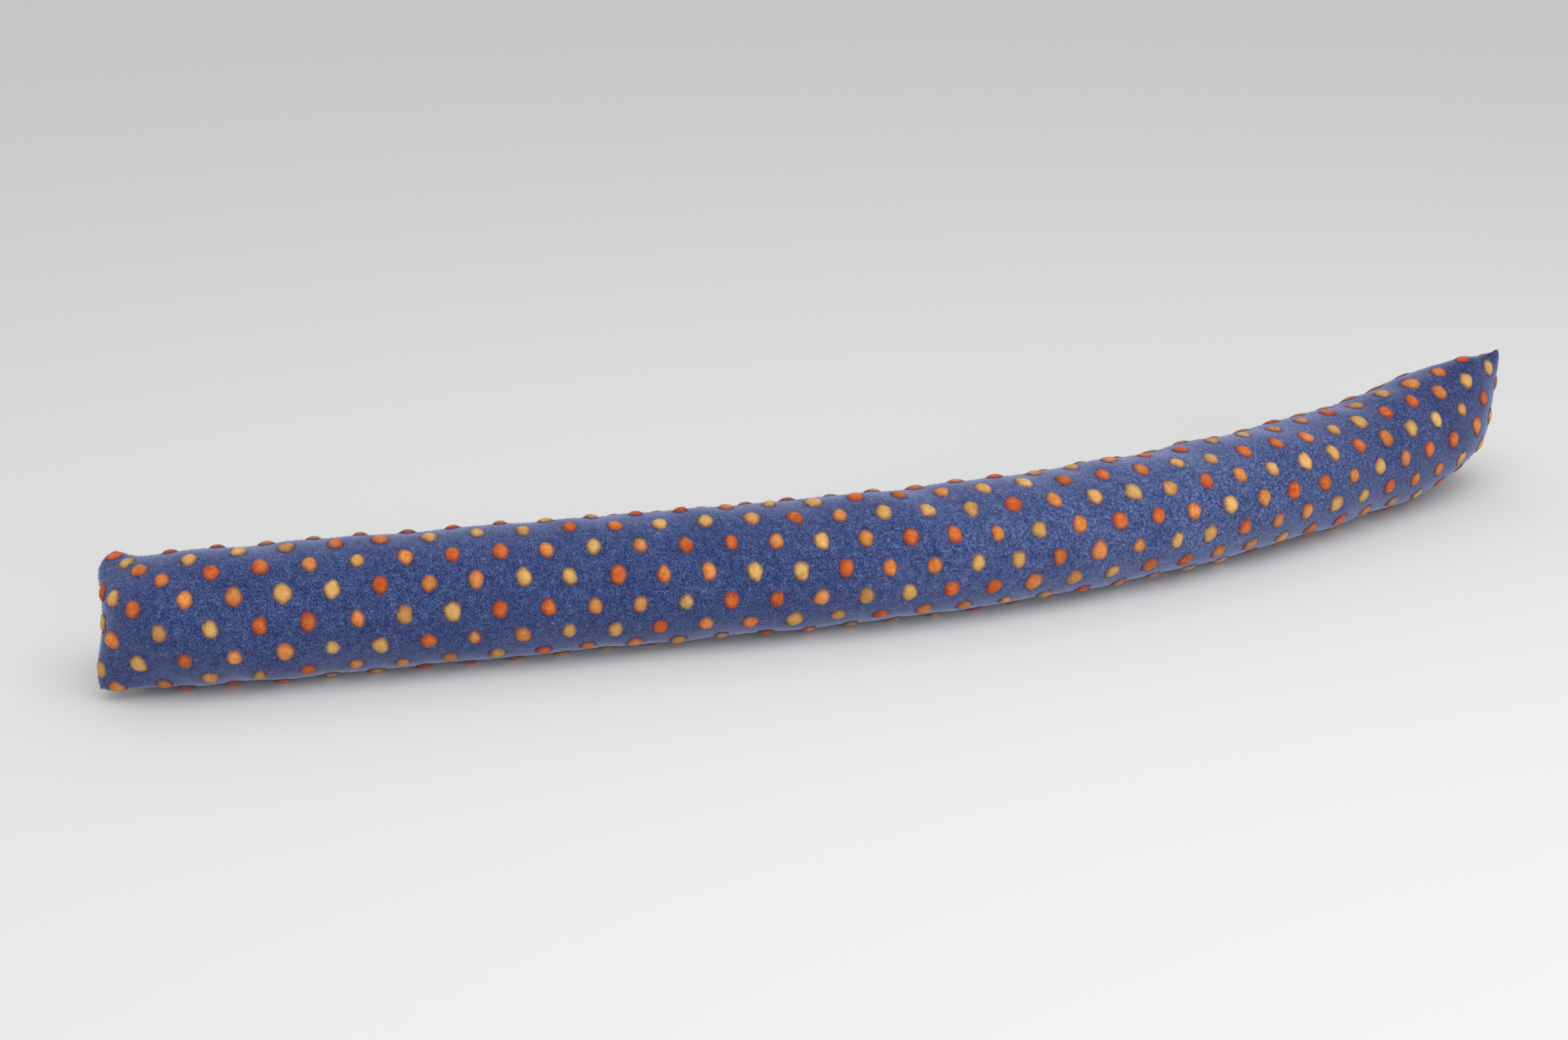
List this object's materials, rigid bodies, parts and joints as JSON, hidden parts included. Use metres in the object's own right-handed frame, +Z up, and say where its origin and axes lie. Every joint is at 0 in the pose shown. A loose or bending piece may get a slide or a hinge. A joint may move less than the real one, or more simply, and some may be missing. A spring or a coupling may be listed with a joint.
{
  "type": "draught excluder",
  "caption": "Filled wool cloth tube that lies along the foot of a door or window to keep draughts out.",
  "frame": {"origin": "bottom centre of the bounding box, on the surface that the cover lies on", "axes": "+X along the length, from one end seam to the other, +Y to the side that the ends curve towards, +Z up"},
  "size_m": [0.9922, 0.151, 0.1065],
  "materials": {
    "wool_cloth": "soft felted blue wool knit with raised orange and yellow felt dots"
  },
  "bodies": {
    "root": {"filled_cover": "wool_cloth"}
  },
  "joints": []
}
